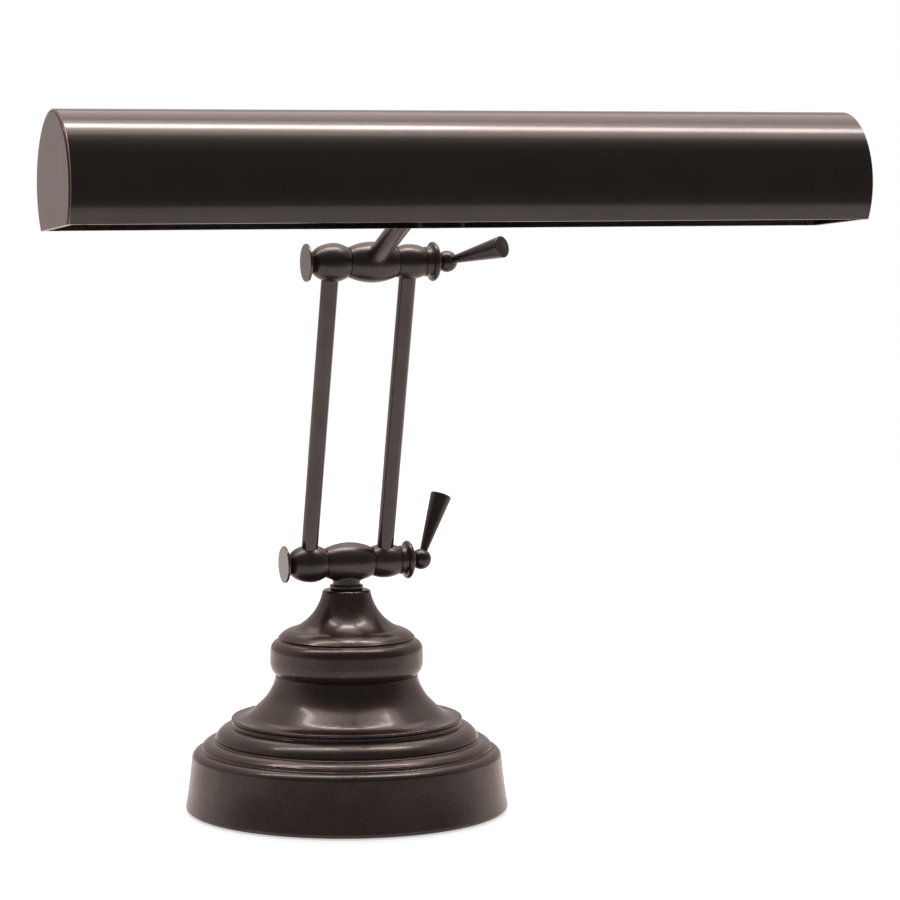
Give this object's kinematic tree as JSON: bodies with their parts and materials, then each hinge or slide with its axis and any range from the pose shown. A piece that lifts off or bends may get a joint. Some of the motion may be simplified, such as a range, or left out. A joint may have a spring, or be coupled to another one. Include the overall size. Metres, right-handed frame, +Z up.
{
  "type": "piano lamp",
  "caption": "Piano lamp with a weighted turned base, a swing arm and a tilting trough shade, each held by a clamp lever, over tubular bulbs.",
  "frame": {"origin": "centre of the felt face that the lamp rests on", "axes": "+Z up; +X along the hub axes and the shade, towards the clamp levers; the shade hangs out towards -Y"},
  "size_m": [0.3566, 0.2751, 0.3313],
  "materials": {
    "base_bronze": "dark rubbed bronze, semi-gloss, copper-coloured where edges are rubbed",
    "arm_bronze": "dark rubbed bronze, semi-gloss",
    "lever_bronze": "dark rubbed bronze, semi-gloss",
    "shade_bronze": "dark rubbed bronze lacquer outside, satin white enamel inside",
    "zinc_steel": "zinc plated",
    "cast_iron": "as cast",
    "felt": "felt",
    "black_plastic": "moulded black",
    "brass": "plain",
    "bulb_cap": "pressed thread",
    "bulb_glass": "frosted"
  },
  "bodies": {
    "base": {"base_neck": "base_bronze", "base_ring": "base_bronze", "base_flare": "base_bronze", "base_foot": "base_bronze", "check_ring": "base_bronze", "base_weight": "cast_iron", "bottom_plate": "zinc_steel", "cover_screws": "zinc_steel", "felt_pad": "felt", "base_nipple": "zinc_steel", "lock_washer": "zinc_steel", "nipple_nut": "zinc_steel", "cord_bushing": "black_plastic", "base_knuckle": "arm_bronze"},
    "arms": {"left_arm": "arm_bronze", "right_arm": "arm_bronze", "lower_left_knuckle": "arm_bronze", "lower_right_knuckle": "arm_bronze", "lower_friction_washers": "brass", "lower_bolt": "arm_bronze", "lower_collar": "arm_bronze", "upper_left_knuckle": "arm_bronze", "upper_right_knuckle": "arm_bronze", "upper_friction_washers": "brass", "upper_bolt": "arm_bronze", "upper_collar": "arm_bronze"},
    "lower_clamp": {"lower_ball_nut": "lever_bronze", "lower_lever": "lever_bronze"},
    "upper_clamp": {"upper_ball_nut": "lever_bronze", "upper_lever": "lever_bronze"},
    "head": {"head_knuckle": "arm_bronze", "support_rod": "arm_bronze", "rod_collar": "arm_bronze", "rod_nut": "zinc_steel", "shade_shell": "shade_bronze", "left_end_cap": "shade_bronze", "right_end_cap": "shade_bronze", "socket_bracket": "zinc_steel", "socket_screws": "zinc_steel", "left_socket": "black_plastic", "right_socket": "black_plastic", "left_screw_shell": "brass", "right_screw_shell": "brass", "left_bulb_base": "bulb_cap", "right_bulb_base": "bulb_cap", "left_bulb_glass": "bulb_glass", "right_bulb_glass": "bulb_glass", "switch_plate": "zinc_steel", "switch_body": "black_plastic", "switch_nut": "zinc_steel"},
    "knob": {"switch_knob": "black_plastic"}
  },
  "joints": [
    {"name": "arm_pivot", "type": "hinge", "parent": "base", "child": "arms", "pos_m": [0, 0, 0.1189], "axis": [1, 0, 0], "range_deg": [-60, 30]},
    {"name": "shade_tilt", "type": "hinge", "parent": "arms", "child": "head", "pos_m": [0, -0.0376, 0.2631], "axis": [1, 0, 0], "range_deg": [-45, 75]},
    {"name": "lower_lever_turn", "type": "hinge", "parent": "arms", "child": "lower_clamp", "pos_m": [0, 0, 0.1189], "axis": [1, 0, 0], "range_deg": [-180, 45]},
    {"name": "upper_lever_turn", "type": "hinge", "parent": "arms", "child": "upper_clamp", "pos_m": [0, -0.0376, 0.2631], "axis": [1, 0, 0], "range_deg": [-180, 45]},
    {"name": "switch_turn", "type": "hinge", "parent": "head", "child": "knob", "pos_m": [0.001, -0.16906, 0.28889], "axis": [0, 0.0732, 0.9973], "continuous": true}
  ]
}
